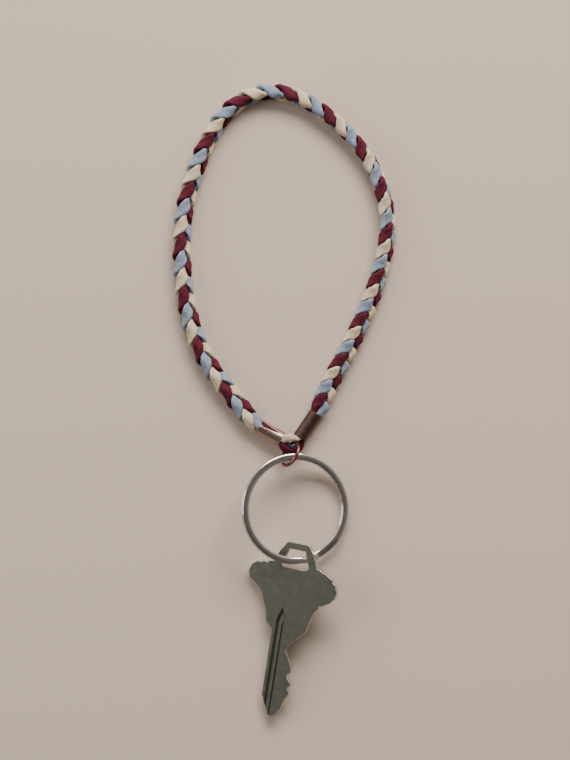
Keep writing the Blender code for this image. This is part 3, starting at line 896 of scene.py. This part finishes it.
def add_split_ring(material):
    """Flat wire that goes round twice and steps from the lower coil to the upper one."""
    tilt = Matrix.Rotation(math.radians(RING_TILT), 3, "Y")
    radius = 0.5 * (RING_OUTER - RING_BAND)
    first = RING_STEP_HALF + RING_END_GAP
    last = 720.0 - first
    section = flat_wire_section()
    loops = []
    for step in range(-1, RING_STEPS + 2):
        held = min(max(step, 0), RING_STEPS)
        turned = first + (last - first) * held / RING_STEPS
        rise = smoothstep((turned - (360.0 - RING_STEP_HALF)) / (2 * RING_STEP_HALF)) - 0.5
        angle = math.radians(turned + RING_STEP_AT)
        away = Vector((math.cos(angle), math.sin(angle), 0))
        ahead = Vector((-math.sin(angle), math.cos(angle), 0))
        size = 1.0 if step == held else RING_END_SIZE
        middle = radius * away + RING_PITCH * rise * UP + RING_END_LENGTH * (step - held) * ahead
        loops.append([RING_CENTRE + tilt @ (middle + size * (x * away + y * UP))
                      for x, y in section])
    add_piece("split_ring_wire", swept("split_ring_wire", loops), material, "split_ring",
              "split_ring")


# ---------------------------------------------------------------- key

def rounded(points):
    """The outline with each corner turned into a small curve."""
    outline = []
    for index, corner in enumerate(points):
        corner = Vector(corner)
        before = Vector(points[index - 1]) - corner
        after = Vector(points[(index + 1) % len(points)]) - corner
        reach_back = min(KEY_CORNER, CORNER_SHARE * before.length) * before.normalized()
        reach_on = min(KEY_CORNER, CORNER_SHARE * after.length) * after.normalized()
        for step in range(CORNER_STEPS + 1):
            t = step / CORNER_STEPS
            outline.append(corner + (1 - t) ** 2 * reach_back + t ** 2 * reach_on)
    return outline


def scalloped(outline, first, last):
    """The outline with its points from first to last joined by a row of small outward arcs."""
    line = Line([Vector(point) for point in outline[first:last + 1]])
    count = round(line.length / SCALLOP_CHORD)
    arcs = []
    for index in range(count):
        start = line.at(line.length * index / count)
        chord = line.at(line.length * (index + 1) / count) - start
        outwards = Vector((-chord.y, chord.x)).normalized()
        for step in range(SCALLOP_STEPS):
            t = step / SCALLOP_STEPS
            arcs.append(tuple(start + t * chord + 4 * t * (1 - t) * SCALLOP_RISE * outwards))
    return outline[:first] + arcs + outline[last:]


def inset(outline, distance):
    """The outline moved inwards: to the left of its direction of travel."""
    moved = []
    for index, corner in enumerate(outline):
        before = (corner - outline[index - 1]).normalized()
        after = (outline[(index + 1) % len(outline)] - corner).normalized()
        first = Vector((-before.y, before.x))
        second = Vector((-after.y, after.x))
        moved.append(corner + distance * (first + second) / (1 + max(first.dot(second), -0.5)))
    return moved


def prism(name, rims):
    """A closed solid whose walls run through each rim's rows, which are height and outline."""
    mesh = bpy.data.meshes.new(name)
    shape = bmesh.new()
    ends = [[], []]
    for rim in rims:
        rows = [[shape.verts.new(Vector((x, y - KEY_PIVOT_FROM_TIP, height)) * MM)
                 for x, y in outline] for height, outline in rim]
        for lower, upper in zip(rows, rows[1:]):
            for index in range(len(lower)):
                after = (index + 1) % len(lower)
                shape.faces.new((lower[index], lower[after], upper[after], upper[index]))
        for end, row in zip(ends, (rows[0], rows[-1])):
            end += [shape.edges.get((row[index - 1], row[index])) for index in range(len(row))]
    for end in ends:
        bmesh.ops.triangle_fill(shape, use_beauty=True, edges=end)
    bmesh.ops.recalc_face_normals(shape, faces=shape.faces)
    shape.to_mesh(mesh)
    shape.free()
    return bpy.data.objects.new(name, mesh)


def turned_left(points):
    """The points as vectors, in the order that keeps the solid on their left."""
    area = sum(x0 * y1 - x1 * y0 for (x0, y0), (x1, y1) in zip(points, points[1:] + points[:1]))
    return [Vector(point) for point in (points if area > 0 else points[::-1])]


def groove_cutter(name, opening, bottom, depth, face):
    """A groove that narrows towards its bottom, in the key's front (1) or back (-1)."""
    surface = 0.5 * KEY_THICKNESS
    return prism(name, [[(face * (surface - depth), turned_left(bottom)),
                         (face * surface, turned_left(opening)),
                         (face * (surface + CUTTER_SPARE), turned_left(opening))]])


def key_place():
    """Where the key's eye hangs on the split ring, and how the key lies."""
    angle = math.radians(KEY_PIVOT_AT)
    radius = 0.5 * (RING_OUTER - RING_BAND) - KEY_PIVOT_INSET
    tilt = Matrix.Rotation(math.radians(RING_TILT), 3, "Y")
    hanging = RING_CENTRE + tilt @ Vector((math.cos(angle), math.sin(angle), 0)) * radius
    turned = (Matrix.Rotation(math.radians(-KEY_HEADING), 3, "Z")
              @ Matrix.Rotation(math.radians(KEY_PITCH), 3, "X")
              @ Matrix.Rotation(math.radians(-KEY_ROLL), 3, "Y"))
    lifted = hanging + (KEY_PIVOT_RISE + KEY_RISE) * UP
    return Matrix.Translation(lifted * MM) @ turned.to_4x4()


def add_key(face_metal, edge_metal):
    """The key cut from its outline: eased rims, a pierced eye and milled grooves."""
    half = 0.5 * KEY_THICKNESS
    ease = [(KEY_EDGE * (1 - math.sin(a)), KEY_EDGE * (1 - math.cos(a)))
            for a in (0, math.pi / 6, math.pi / 3, math.pi / 2)]
    levels = ([(-half + down, shift) for down, shift in reversed(ease)]
              + [(half - down, shift) for down, shift in ease])
    edge = turned_left(rounded(scalloped(KEY_LEFT, *LEFT_SCALLOPS)
                               + scalloped(KEY_RIGHT, *RIGHT_SCALLOPS)))
    eye = turned_left(rounded(KEY_HOLE))[::-1]
    key = prism("key_plate", [[(height, inset(outline, shift)) for height, shift in levels]
                              for outline in (edge, eye)])
    bpy.context.scene.collection.objects.link(key)
    for metal in (face_metal, edge_metal):
        key.data.materials.append(metal)
    # Flat faces take the first metal (painted shade); the rim, shaded smooth, the second
    # (painted highlight)
    for face in key.data.polygons:
        face.use_smooth = abs(face.normal.z) < FLAT
        face.material_index = int(face.use_smooth)
    cutters = [groove_cutter(name, *groove) for name, groove in GROOVES.items()]
    for cutter in cutters:
        bpy.context.scene.collection.objects.link(cutter)
        cut = key.modifiers.new(cutter.name, "BOOLEAN")
        cut.operation = "DIFFERENCE"
        cut.solver = "EXACT"
        cut.object = cutter
    bpy.context.view_layer.update()
    evaluated = key.evaluated_get(bpy.context.evaluated_depsgraph_get())
    mesh = bpy.data.meshes.new_from_object(evaluated)
    key.modifiers.clear()
    key.data = mesh
    for cutter in cutters:
        bpy.data.objects.remove(cutter)
    mesh.transform(key_place())
    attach(key, "key")
    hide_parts("key")


def add_metal():
    copper = plated("worn_copper", (0.50, 0.375, 0.315), (0.24, 0.155, 0.13), 0.30, (1, 1, 6))
    # The right tube's copper is the left tube's, darkened as painted shade for its side that
    # lies away from the light
    dark = plated("copper_painted_shade", (0.15, 0.090, 0.080), (0.055, 0.034, 0.032), 0.36, (1, 1, 6))
    wire = plated("copper_wire", (0.26, 0.105, 0.090), (0.095, 0.038, 0.034), 0.22, (1, 1, 1))
    steel = plated("nickelled_steel", (0.84, 0.76, 0.70), (0.60, 0.52, 0.46), 0.10,
                   (1, 1, 1), 0.6, 0.3)
    # The key's face is nickel darkened as painted shade for its dark reflection, with tarnish
    # mottling; its rim is nickel brightened as painted highlight
    nickel = plated("worn_nickel_face_painted_shade", (0.155, 0.150, 0.120), (0.100, 0.096, 0.076), 0.36, (3, 1, 1),
                    0.7)
    rim = plated("polished_nickel_edge_painted_highlight", (0.66, 0.63, 0.54), (0.30, 0.28, 0.23), 0.20,
                 (1, 1, 1), 0.5)
    add_crimp_tube("left_crimp_tube", LEFT_TUBE, copper)
    add_crimp_tube("right_crimp_tube", RIGHT_TUBE, dark)
    add_jump_ring(wire)
    add_split_ring(steel)
    add_key(nickel, rim)


# ---------------------------------------------------------------- closing lines

add_camera()
add_laces()
add_metal()
add_lights()
add_floor()
